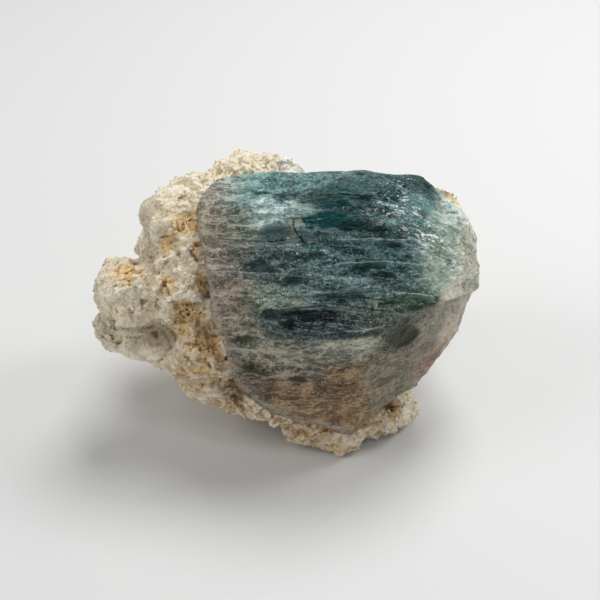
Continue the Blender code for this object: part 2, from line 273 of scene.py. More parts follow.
crystal = {
    "grain": 0.24,
    "softening": 11,
    "shelf": {"width": 1.7, "depth": 0.12, "wander": 2.2, "slope": 0.4},
    "flats": {"long": 3.6, "wide": 1.4, "lean": 0.26},
    "chips": {"long": 1.5, "wide": 0.7, "lean": 0.12},
    "grit": 0.02,
    "dip": {"at": (6, 5, 35.2), "reach": (4.5, 3.4, 3), "depth": 0.4},
    # colours as seen on a screen
    "tints": {
        "frost": (202, 218, 214), "mist": (116, 156, 154), "teal": (10, 68, 70),
        "deep teal": (8, 46, 47), "night": (1, 16, 19), "sea": (46, 76, 76),
        "sea green": (160, 178, 160), "cream": (204, 202, 184), "sand": (146, 136, 116),
        "moss": (104, 110, 94), "olive": (72, 72, 58), "earth": (118, 96, 74),
        "umber": (92, 74, 57), "rust": (160, 130, 92), "stone": (152, 144, 130),
        "rose": (172, 142, 128), "blush": (214, 194, 176), "lilac": (196, 186, 172),
        "pale stone": (190, 186, 168), "slate": (38, 54, 56), "pine": (78, 100, 98),
        "green": (50, 72, 56),
    },
    # body colour by place: middle, reach, tint, how cloudy with veils
    "zones": {
        # painted reflection: the two pale mist zones along the top band stand partly for frosted veils,
        # partly for light glancing off the top face from behind
        "top band frost and sheen": ((-2, 3.4, 35.1), (6, 2.6, 2), "mist", 0.9),
        "left band frost and sheen": ((-6, 1, 34.6), (4, 3, 2), "mist", 0.7),
        "top middle": ((2.4, 2, 35.2), (2.6, 2, 2), "sea", 0.7),
        "grey corner": ((-8, 2, 34.7), (2, 3, 3), "stone", 0.7),
        "top left edge": ((-10.4, 0.6, 34.4), (2, 4, 4), "sand", 0.9),
        "left edge": ((-11, -3.4, 32.6), (1.6, 3, 4), "sand", 0.7),
        "left upper": ((-7, -4, 32.6), (3, 3, 2), "moss", 0.6),
        "left column": ((-8.6, -8.6, 29.2), (2.6, 5, 4), "stone", 0.6),
        "left side": ((-8.2, -14, 24.4), (2.4, 4, 4), "sand", 0.7),
        "left mottle": ((-6.8, -12, 27), (2.4, 2.6, 1.8), "earth", 0.7),
        "left middle": ((-4.4, -8.2, 30), (4, 2.6, 3), "slate", 0.7),
        "left lower": ((-3.4, -12.6, 27.4), (4, 2.6, 2), "moss", 0.9),
        "ridge": ((3.4, -1.8, 34.3), (4.4, 2, 2), "sea", 0.45),
        "middle": ((4, -6.4, 31.4), (4.4, 2, 2), "sea", 0.6),
        "deep middle": ((8, -7.6, 30.4), (4, 2, 2), "teal", 0.6),
        "low middle": ((6, -11, 27.9), (6, 2, 1.6), "sea", 0.9),
        "right top": ((10, -1, 34.8), (6, 2.4, 3), "teal", 0.15),
        "right upper": ((12.4, -4.8, 31.8), (4, 2, 2.4), "deep teal", 0.4),
        "feathers": ((15.4, -2, 33.2), (3.4, 2.8, 2.2), "mist", 0.4),
        "top corner": ((16.4, 2, 35), (3, 2.4, 2), "teal", 0.2),
        "right middle": ((14, -7.4, 29.4), (4, 2.4, 2.4), "teal", 0.7),
        "white patch": ((-1.8, -2.2, 33.6), (4, 1.8, 1.5), "frost", 0.95),
        "beige patch": ((0.7, -4.5, 32.3), (1, 1.9, 1.6), "sand", 0.4),
        "sea green": ((20.2, -6.6, 27.4), (2.6, 2.4, 2), "sea green", 0.3),
        "pale right": ((21.6, -2.4, 29.6), (2.4, 3, 2), "sea green", 0.6),
        "cream rim": ((25.2, -1.6, 26), (2, 4, 5), "cream", 0.8),
        "low rim": ((22.4, -7.2, 24), (3, 2, 1.2), "cream", 0.3),
        "rim top": ((22.6, 2, 30.6), (2, 3, 2.4), "frost", 0.6),
        "right side": ((23.6, -6.6, 19.6), (2.6, 3, 2.2), "lilac", 0.2),
        "right side front": ((19, -11, 20.4), (2.6, 3, 2.4), "stone", 0.3),
        "pink edge": ((22.8, -7, 14.6), (1.6, 2.6, 2.6), "blush", 0.2),
        "pink side": ((20, -9, 12), (1.6, 2, 2), "rose", 0.2),
        "green": ((17, -11.6, 25.6), (2.6, 2, 1), "green", 0.15),
        "under green": ((12, -13.8, 24.6), (4, 2, 1.4), "olive", 0.7),
        "dark band": ((3, -15.6, 24.4), (6, 2, 1.2), "slate", 0.6),
        "olive": ((14.6, -13.6, 20.8), (3, 2.4, 2.2), "olive", 0.3),
        "lower left": ((-3.6, -16, 21), (4.4, 3, 2.6), "sand", 1),
        "left foot": ((-5.4, -16.4, 15.4), (3, 3, 3.4), "umber", 0.7),
        "lower middle": ((3, -16.2, 18), (4, 3, 3), "stone", 1),
        "pale patch": ((8.6, -15.8, 20.6), (3.6, 3, 1.6), "pale stone", 0.7),
        "brown foot": ((5, -16.8, 13), (5, 3, 3), "rust", 0.6),
        "rusty": ((8, -16, 16.6), (3, 3, 2.2), "rust", 0.6),
        "tip": ((7, -16.6, 8), (4, 3, 2.6), "rust", 0.4),
        "lower right": ((14.4, -13, 13), (3.4, 3, 3.4), "sand", 0.4),
        "right foot": ((12, -15.2, 16), (2.6, 3, 2.4), "sand", 0.5),
        "back": ((8, 10, 26), (14, 6, 9), "sea", 0.5),
        "back left": ((-8, 8, 30), (5, 5, 6), "mist", 0.6),
        "underside": ((8, 0, 8), (14, 8, 4), "stone", 0.5),
    },
    "front": (0.64, 0.77),  # how the sloping front runs: towards the back, upwards
    "pane": {"blur": 0.35, "depth": 3},  # its soft edge, and how far off its plane it still shows
    # smooth dark panes that no veil crosses: middle, half sizes, colour, turn in degrees
    "windows": {
        "first": ((-1.7, -5.1, 32.2), (2.4, 1.2), "pine", 12),
        "black": ((2.6, -14.6, 25.2), (4.2, 1.5), "night", 4),
        "black left": ((-1.4, -14.2, 25.6), (2.2, 0.7), "slate", 0),
        "teal pocket": ((-0.2, -0.3, 34.4), (1.9, 0.8), "teal", 8),
        "second pocket": ((-3.4, 0.4, 34.6), (1.2, 0.4), "sea", 0),
        "high": ((9.7, -4.2, 32.4), (4, 0.9), "deep teal", -4),
        "higher": ((12, -2.2, 33.6), (3, 0.7), "deep teal", -14),
        "top": ((6.6, -1.6, 34.4), (3, 0.5), "teal", 6),
        "crown": ((11.4, -0.2, 34.9), (4.6, 1.3), "teal", 0),
        "upper": ((5, -3.6, 32.9), (3.2, 1.1), "teal", 0),
        "deep": ((10.6, -8.5, 29.1), (2.6, 0.8), "deep teal", 8),
        "deep left": ((2.8, -7.7, 30.2), (2, 0.7), "slate", 10),
        "low": ((7.4, -12.3, 26.8), (3.6, 0.7), "deep teal", 0),
        "low left": ((0, -10.4, 28), (2.6, 0.5), "slate", 0),
        "mid left": ((-3.8, -9, 29.3), (2.2, 0.5), "slate", 0),
        "right": ((14.4, -5.8, 30.4), (1.8, 0.7), "deep teal", -10),
        "right low": ((12.9, -9.8, 28.2), (2, 0.8), "deep teal", 0),
        "green": ((17.2, -11.6, 25.6), (3, 1), "green", -6),
        "green left": ((12.8, -12.4, 26.4), (1.8, 0.6), "green", 0),
        "olive": ((15.4, -13.2, 20.9), (2.4, 1.5), "olive", 10),
        "shard": ((-5.6, -14.8, 21.8), (1.6, 0.4), "olive", 6),
        "shard low": ((-4.6, -16.4, 18.2), (1.2, 0.4), "olive", -4),
        "brown": ((1.6, -16.6, 16), (1.2, 0.5), "earth", 0),
    },
    # long healed cracks, left to right, with their strength
    "seams": {
        "under first window": ([(-9.9, -5.5, 31.2), (-5.3, -6.1, 31), (-2, -6.2, 31.1), (1.3, -5.7, 31.2),
                                (2.4, -5.5, 31.5)], 1),
        "middle": ([(1.7, -12.2, 26.9), (3.3, -11.7, 27.1), (8.1, -11.7, 27.3), (12.3, -11.3, 27.4)], 0.9),
        "over black window": ([(-0.6, -13.7, 26.2), (2.1, -13.3, 26.3), (4.8, -12.9, 26.2),
                               (6.7, -13.2, 26.1), (8.6, -13.6, 26), (12.3, -13.8, 25.6),
                               (16.2, -13, 24.5)], 1),
        "low left": ([(-7.8, -15, 20.3), (-5.3, -15.6, 20.7), (-2.8, -16.3, 21.1), (1.3, -16.5, 20.9)], 0.7),
        "left": ([(-8.9, -9.5, 28.9), (-6.4, -9.7, 29), (-3.9, -9.7, 28.8), (-0.7, -9.5, 28.6)], 0.6),
        "veined": ([(7.4, -5.9, 31.5), (11.5, -5.6, 31.4), (13.7, -5.3, 31), (15.6, -4.9, 30.7)], 0.8),
        "top ridge": ([(2.1, -0.8, 34.2), (4.1, -0.6, 34.5), (6.4, -0.8, 35), (9.5, -0.8, 34.7),
                       (12.6, -0.7, 34.6)], 0.45),
        "right": ([(5.6, -8.9, 29.5), (8.3, -8.4, 29.6), (11.2, -8.1, 29.5), (14.3, -7.7, 29.2),
                   (17.7, -7.3, 28.4)], 0.6),
        "under black window": ([(1.7, -16.5, 25), (5.6, -16.5, 24.4), (9.5, -15.8, 24.2),
                                (12.8, -14.9, 24.1)], 0.6),
        "first feather": ([(12.6, -0.4, 34.8), (14.4, -1.2, 34.2), (16.4, -1.8, 33.6), (18.5, -1.8, 32.4),
                           (20.7, -1.4, 30.8), (23.3, -1.2, 29.3)], 0.35),
        "second feather": ([(11.7, -1.3, 34.2), (13.7, -2.7, 33.6), (15.7, -3.4, 32.6), (17.8, -3.4, 31.6),
                            (20.6, -3, 30.3)], 0.35),
        "third feather": ([(13.7, 2.7, 35.2), (15.2, 1.3, 35.2), (16.5, 0.6, 34.5), (17.6, -0.4, 34)], 0.8),
        "rim": ([(13.6, -11.4, 27.1), (17.6, -10.6, 26.1), (19.4, -10.6, 25), (20.6, -9.8, 24.2),
                 (21.6, -8.7, 23.3)], 0.8),
    },
    "cracks": {
        "left of the notch": ([(0.9, -4.2, 32.5), (1, -4.8, 32.3), (1.6, -5.4, 31.6), (2, -5.7, 31.2)], 1),
        "under the crust": ([(-0.6, -16.4, 10.6), (1.4, -16.6, 9.9), (3.6, -16.7, 9.2), (5.4, -16.7, 9)], 1),
    },
    # ledges: the line they follow, their height and how far they fade
    "ledges": {
        "rim": ([(19, -11, 25), (21.6, -8.7, 23.2), (23.1, -6.8, 22), (25, -5, 21.2),
                 (26.4, -3, 20.6)], 0.45, 1.6),
        "first feather": ([(12.6, -0.4, 34.8), (16.4, -1.8, 33.6), (20.7, -1.4, 30.8),
                           (23.3, -1.2, 29.3)], 0.2, 0.9),
        "second feather": ([(11.7, -1.3, 34.2), (15.7, -3.4, 32.6), (20.6, -3, 30.3)], 0.2, 0.9),
        "third feather": ([(13.7, 2.7, 35.2), (16.5, 0.6, 34.5), (17.6, -0.4, 34)], 0.15, 0.7),
        "top ridge": ([(2.1, -0.8, 34.2), (6.4, -0.8, 35), (12.6, -0.7, 34.6)], 0.25, 1.2),
        "under first window": ([(-9.9, -5.5, 31.2), (-2, -6.2, 31.1), (2.4, -5.5, 31.5)], 0.2, 1),
        "over black window": ([(-0.6, -13.7, 26.2), (4.8, -12.9, 26.2), (12.3, -13.8, 25.6),
                               (16.2, -13, 24.5)], 0.25, 1.1),
        "middle": ([(1.7, -12.2, 26.9), (8.1, -11.7, 27.3), (12.3, -11.3, 27.4)], 0.18, 0.8),
        "crust": ([(-0.6, -16.4, 10.6), (1.4, -16.6, 9.9), (3.6, -16.7, 9.2), (5.4, -16.7, 9)], 0.3, 0.8),
    },
    # the worn edge towards the matrix
    "edge": [(-10.6, 0.6, 34.6), (-11.2, -4, 32.5), (-10.8, -7.6, 29.1), (-9.9, -11.8, 26.1),
             (-9.3, -13.7, 24.2), (-8, -15.4, 20), (-6.6, -16.3, 15.9), (-4.8, -16.6, 13.3),
             (-2.4, -16.7, 11), (0.6, -16.6, 8.8), (4.8, -16.4, 7.3), (8.7, -16.5, 6.4)],
    "feathers": [((14.4, -1.6, 34.1), 2.6), ((17.8, -3, 31.8), 2.6), ((20.5, -4.4, 29.5), 2.4),
                 ((23, -5, 26.5), 2.4)],
    "glints": [((24, -3, 27.4), 2.4), ((2, -7.6, 30.4), 1.6), ((5.6, -8.5, 29.8), 1),
               ((15.2, 1.4, 35), 2.4), ((-1.4, 2, 34.6), 2.4), ((-9.6, -1, 34), 1.8)],
    "dust": 0.8,  # how far it spreads from the worn edge
    # where the body turns warm, and from where on it is less chipped
    "warm": {"below": 23, "leftOf": -3, "rightEnd": 9},
    "rust": {"at": (8, -16, 16.4), "reach": (5, 4, 4.4)},
    "stains": [((9.4, -16, 12.5), 0.9), ((8.6, -16.3, 13.1), 0.7), ((20.9, -8.8, 13.7), 0.9),
               ((21.9, -8.3, 15.2), 0.9), ((20, -9.1, 12.4), 0.8)],
    "ripples": {"at": (11.6, -14.6, 21), "reach": 1.6, "middle": (15, -13.3, 20.8)},
}


def crystalHeight(point):
    shelf = crystal["shelf"]
    across = point.z + shelf["slope"] * point.y
    across += shelf["wander"] * noise.noise(Vector((point.x / 9, across / 5, 3)))
    level = across / shelf["width"]
    uneven = 0.5 + noise.noise(Vector((point.x / 5, level // 1 * 7, 0)))
    height = shelf["depth"] * (level % 1 - 0.5) * uneven
    for size in (crystal["flats"], crystal["chips"]):
        place = Vector((point.x / size["long"], point.y / size["wide"], point.z / size["wide"]))
        place += 0.3 * noise.noise_vector(place * 0.6)
        middle = noise.voronoi(place)[1][0]
        lean = noise.cell_vector(middle * 9) - Vector((0.5, 0.5, 0.5))
        height += size["lean"] * lean.dot(place - middle)
    dip = crystal["dip"]
    height -= dip["depth"] * near(np.array([point]), dip["at"], dip["reach"])[0]
    return height + crystal["grit"] * noise.noise(point / 0.5)


def ledgeHeights(points, normals):
    total = np.zeros(len(points))
    for line, height, fade in crystal["ledges"].values():
        side, along = beside(points, normals, line, 3)
        total += height * np.clip(side / 0.2, -1, 1) * np.exp(-np.abs(side) / fade) * along
    return total


def paintLines(piece, name, lines):
    # how far each point lies above its nearest line, and how strong that line is there
    points = pointsOf(piece)
    normals = normalsOf(piece)
    nearest = np.full(len(points), 9.0)
    strengths = np.zeros(len(points))
    for line, strength in lines.values():
        side, along = beside(points, normals, line, 1.2)
        better = (along > 0) & (np.abs(side) < np.abs(nearest))
        nearest[better] = side[better]
        strengths[better] = (strength * along)[better]
    paint(piece, name + "Side", np.clip(nearest, -2, 2))
    paint(piece, name + "Strength", strengths)


def zoneMix(points, zones, tints):
    # colour and cloudiness at each point, shared out between the zones around it
    # the places are pushed about, so that zones meet in a ragged line
    pushed = points + np.array([0.9 * noise.noise_vector(Vector(p) / 1.8) for p in points])
    weights = np.column_stack([near(pushed, at, reach) for at, reach, _, _ in zones.values()])
    weights = weights**1.3 + 1e-7
    weights /= weights.sum(1)[:, None]
    colours = np.array([linear(tints[tint]) for _, _, tint, _ in zones.values()])
    cloud = np.array([cloudy for _, _, _, cloudy in zones.values()])
    return weights @ colours, weights @ cloud


def windowShares(points):
    # 1 inside a window, 0 outside, with its colour; windows lie flat on the sloping front
    back, rise = crystal["front"]
    pane = crystal["pane"]
    share = np.zeros(len(points))
    colours = np.zeros((len(points), 3))
    pushed = points + np.array([0.5 * noise.noise_vector(Vector(p) / 1.1) for p in points])
    pushed += np.array([0.25 * noise.noise_vector(Vector(p) / 0.4) for p in points])
    for at, (long, wide), tint, turn in crystal["windows"].values():
        away = pushed - np.array(at)
        right = away[:, 0]
        up = away[:, 1] * back + away[:, 2] * rise
        out = np.abs(away[:, 2] * back - away[:, 1] * rise)
        c, s = cos(radians(turn)), sin(radians(turn))
        spread = np.hypot((right * c + up * s) / long, (up * c - right * s) / wide)
        inside = np.clip((1 - spread) * wide / pane["blur"] + 0.5, 0, 1) * (out < pane["depth"])
        better = inside > share
        share[better] = inside[better]
        colours[better] = linear(crystal["tints"][tint])
    return share, colours


def crystalStone():
    s = Shader(bpy.data.materials.new("hackmanite"))
    place = s.place()
    bent = s.bent(place, 4, 1.2)
    body = s.painted("bodyColour", "Color")
    cloudy = s.painted("cloudy")
    feathery = s.painted("feathery")
    rusty = s.painted("rusty")
    clear = s.painted("window")
    warm = s.painted("warm")
    chipped = s.painted("chipped")
    endwise = s.painted("endwise")
    glinting = s.painted("glinting")

    # clear chips, long in X, lie between grains that healed cracks have turned cloudy
    broken = s.noise(place, 0.5, 4, 0.8).step(0.44, 0.58) * (1 - endwise * 0.6) * (1 - chipped * 0.4)
    chips = None
    webs = None
    tone = None
    for long, wide, share, weight in ((3, 1.15, 0.36, 0.4), (1, 0.68, 0.4, 0.5), (0.42, 0.34, 0.4, 0.3)):
        at = s.stretched(s.bent(bent, wide, wide * 0.3), long, wide)
        edge = s.cells(at, 1, "DISTANCE_TO_EDGE")
        pick = s.lots(at, 1)
        limit = chipped * 0.16 + share
        chip = edge.step(0.04, 0.11) * pick.step(limit + 0.03, limit - 0.03) * (1 - endwise * 0.5)
        web = edge.step(0.15, 0.02) * broken * (weight * 2)
        chips = chip if chips is None else chips.maths("MAXIMUM", chips, chip * (weight + 0.45))
        webs = web if webs is None else webs + web * 0.7
        tone = pick * weight if tone is None else tone + pick * weight
    finestPick = pick
    rows = s.noise(s.stretched(s.bent(place, 3, 0.8), 4.5, 1), 0.8, 3, 0.6).step(0.4, 0.62)
    patchy = s.noise(s.stretched(place, 1.2, 1), 1.2, 3, 0.6).step(0.36, 0.64)
    grainy = s.noise(place, 0.32, 4, 0.8)
    fine = grainy.step(0.42, 0.68)
    broad = s.noise(s.stretched(bent, 1.7, 1), 2.4, 3, 0.55)
    cloud = fine * (0.2 + patchy * 0.5 + rows * 0.4) * (1 - chips * 0.75)
    cloud = cloud * (0.4 + broad.step(0.4, 0.64) * 0.8) + webs * (0.1 + grainy * 0.7)
    cloud = cloud.held() * (cloudy * 1.2) * (1 - clear * 0.9)
    frost = s.noise(place, 0.2, 1).step(0.65, 0.75) * (cloudy * 0.9 + 0.2) * (1 - clear)
    smears = s.noise(s.stretched(s.bent(place, 2, 0.5), 5, 0.9), 0.5, 3, 0.65).step(0.53, 0.62)
    smears = smears * (1 - clear) * (1 - endwise)
    flecks = s.noise(s.stretched(place, 1.5, 1), 0.26, 2, 0.6).step(0.6, 0.68)
    flecks = flecks * chipped * (0.35 + patchy * 0.65)

    seamSide = s.painted("seamSide") + (s.noise(place, 0.8, 3, 0.7) - 0.5) * 0.5
    seamStrength = s.painted("seamStrength") * s.noise(place, 1.2, 2).step(0.3, 0.55)
    seam = seamSide.unsigned().step(0.13, 0.03)
    seam = (seam + seamSide.step(-0.8, 0) * seamSide.step(0.03, 0) * 0.35) * seamStrength
    crackSide = s.painted("crackSide") + (s.noise(place, 0.8, 3, 0.7) - 0.5) * 0.3
    crack = crackSide.unsigned().step(0.2, 0.05) * s.painted("crackStrength")

    # thin, far apart and nearly straight in X: the basal cracks
    level = s.vector("DOT_PRODUCT", s.bent(place, 7, 1.4), (0.035, 0.42, 0.9), "Value")
    basal = (level * 0.9).maths("FRACT", level * 0.9) - 0.5
    basal = basal.unsigned().step(0.06, 0.01)
    basal = basal * s.noise(s.stretched(place, 3, 1), 1.4, 3).step(0.5, 0.62) * (1 - clear)
    lines = seam + basal * 0.4 + smears * (chipped * 0.3 + 0.12)
    veil = (cloud * 0.95 + lines + frost * (chipped * 0.3 + 0.5)).held()

    mottle = s.noise(place, 0.7, 5, 0.75) * 0.6 + broad.step(0.38, 0.62) * 0.35
    shade = (tone * (0.7 - endwise * 0.5) + mottle - 0.42 + endwise * 0.3).step(0, 1)
    shade = (shade - 0.42) * (0.35 + cloudy * 0.85) + 0.42
    shade = (shade * (1 - clear * 0.6) + clear * 0.3).held()
    # pale and brown parts vary less than the deep teal
    calm = s.painted("calm")
    darker = s.mix(1, body, s.mix(calm, (0.12, 0.2, 0.2, 1), (0.42, 0.38, 0.34, 1)), "MULTIPLY")
    brighter = s.mix(1, body, s.mix(calm, (1.65, 1.62, 1.6, 1), (1.4, 1.4, 1.4, 1)), "MULTIPLY")
    colour = s.mix(shade, darker, brighter)
    deep = s.mix(chipped, (0.3, 0.42, 0.43, 1), (0.22, 0.23, 0.25, 1))
    colour = s.mix(chips * (cloudy * 0.6 + 0.3), colour, s.mix(1, body, deep, "MULTIPLY"))
    veilColour = s.mix(warm, (0.42, 0.55, 0.53, 1), (0.6, 0.54, 0.46, 1))
    veilColour = s.mix(0.5, veilColour, brighter)
    colour = s.mix(veil, colour, veilColour)
    colour = s.mix(s.noise(place, 0.16, 2, 0.8).step(0.6, 0.72) * cloudy * 0.35, colour, darker)
    colour = s.mix(flecks * 0.4, colour, (0.045, 0.035, 0.028, 1))
    colour = s.mix(crack, colour, (0.012, 0.022, 0.02, 1))
    # painted glints: tiny white specks in the base colour, more in rows and patches, on the feathers and at
    # the glint places, fewer in windows
    spark = s.noise(place, 0.26, 1, 0.8).step(0.66, 0.72) * (rows * patchy + 0.25)
    spark = spark * (0.7 + feathery + glinting * 1.5) * (1 - clear * 0.8)
    colour = s.mix(spark, colour, (0.82, 0.88, 0.88, 1))
    dust = s.painted("dusty") * (s.noise(place, 0.5, 4, 0.75).step(0.4, 0.6) * 0.6 + 0.2)
    colour = s.mix(dust, colour, (0.42, 0.37, 0.3, 1))

    # painted highlight: fine white streaks stand in for glints where the surface steps down to the rim; the
    # same streaks also lift the bump a little
    slant = s.node("VectorRotate", {"rotation_type": "Y_AXIS"}, {"Vector": place, "Angle": radians(-29)})
    slant = s.stretched(s.bent(slant, 2, 0.6), 3.4, 0.8)
    streak = s.noise(slant, 0.62, 3, 0.8).step(0.53, 0.6) * feathery
    streak = streak * s.noise(place, 0.8, 3).step(0.36, 0.48)
    colour = s.mix(streak, colour, (0.9, 0.96, 0.95, 1))

    grime = s.noise(place, 0.36, 2, 0.7).step(0.56, 0.66) * rusty * s.noise(place, 2, 2).step(0.38, 0.6)
    colour = s.mix(grime * 0.85, colour, (0.06, 0.028, 0.01, 1))
    stain = s.painted("stain") * s.noise(place, 0.7, 2).step(0.35, 0.6)
    colour = s.mix(stain * 0.75, colour, (0.1, 0.035, 0.04, 1))

    ring = s.painted("ripple") * (2 * pi / 0.45)
    ring = ring.maths("SINE", ring).step(0.6, 1) * s.painted("rippled")
    colour = s.mix(ring * 0.18, colour, (0.42, 0.42, 0.36, 1))

    # small tilted flats catch the light
    flats = s.leaning(s.stretched(bent, 1.5, 0.8), 1)
    grains = s.leaning(s.stretched(place, 1.2, 0.8), 0.42)
    relief = flats * (0.2 - clear * 0.1) + grains * (feathery * 0.6 + glinting * 0.6 + 0.2 - clear * 0.17)
    relief = relief + streak * 0.12 - crack * 0.1 + grainy * 0.06 * (1 - clear * 0.8)
    bump = s.node("Bump", {}, {"Strength": 0.9, "Distance": mm, "Height": relief})

    mirror = finestPick.maths("GREATER_THAN", finestPick, 0.9 - glinting * 0.5 - feathery * 0.4)
    rough = (0.24 + veil * 0.25 + grime * 0.3 - mirror * 0.3).held(0.08)
    surface = s.node("BsdfPrincipled", {"subsurface_method": "RANDOM_WALK"}, {
        "Base Color": colour, "Roughness": rough, "IOR": 1.48, "Specular IOR Level": 0.15, "Normal": bump,
        "Subsurface Weight": 0.2, "Subsurface Radius": (0.7, 0.9, 0.85), "Subsurface Scale": 0.6 * mm,
    })
    return s.finish(surface)


def makeCrystal():
    piece = fineCopy("hackmanite_crystal", "hackmanite", crystal["grain"], crystal["softening"])
    points = pointsOf(piece)
    normals = normalsOf(piece)
    heights = np.array([crystalHeight(Vector(p)) for p in points]) + ledgeHeights(points, normals)
    setPoints(piece, points + normals * heights[:, None])
    points = pointsOf(piece)

    paint(piece, "endwise", np.clip((np.abs(normals[:, 0]) - 0.5) / 0.3, 0, 1))
    colours, cloudy = zoneMix(points, crystal["zones"], crystal["tints"])
    share, windowColours = windowShares(points)
    paint(piece, "bodyColour", colours * (1 - share[:, None]) + windowColours * share[:, None])
    paint(piece, "cloudy", cloudy)
    warmth = crystal["warm"]
    low = (warmth["below"] - points[:, 2]) / 5
    left = (warmth["leftOf"] - points[:, 0]) / 6
    warm = np.clip(np.maximum(low, left), 0, 1)
    right = np.clip((points[:, 0] - warmth["rightEnd"]) / 6, 0, 1)
    paint(piece, "warm", warm)
    paint(piece, "chipped", warm * (1 - right))
    reddish = np.clip((colours[:, 0] - 0.5 * colours[:, 2] - 0.03) / 0.12, 0, 1)
    paint(piece, "calm", reddish * (0.5 + 0.5 * right))
    paint(piece, "window", share)
    paintLines(piece, "seam", crystal["seams"])
    paintLines(piece, "crack", crystal["cracks"])
    for name, key in (("feathery", "feathers"), ("glinting", "glints"), ("stain", "stains")):
        total = sum(near(points, at, (reach,) * 3) for at, reach in crystal[key])
        paint(piece, name, np.clip(total, 0, 1))
    edge = crystal["edge"]
    away = np.min([lineGap(points, start, end) for start, end in zip(edge[:-1], edge[1:])], 0)
    paint(piece, "dusty", np.exp(-(away / crystal["dust"]) ** 2))
    paint(piece, "rusty", near(points, crystal["rust"]["at"], crystal["rust"]["reach"]))
    ripples = crystal["ripples"]
    paint(piece, "ripple", np.linalg.norm(points - np.array(ripples["at"]), axis=1))
    paint(piece, "rippled", near(points, ripples["middle"], (ripples["reach"],) * 3))

    piece.data.materials.append(crystalStone())
    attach(piece, "root")
    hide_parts("hackmanite_crystal")
    report("crystal", piece)
    return piece


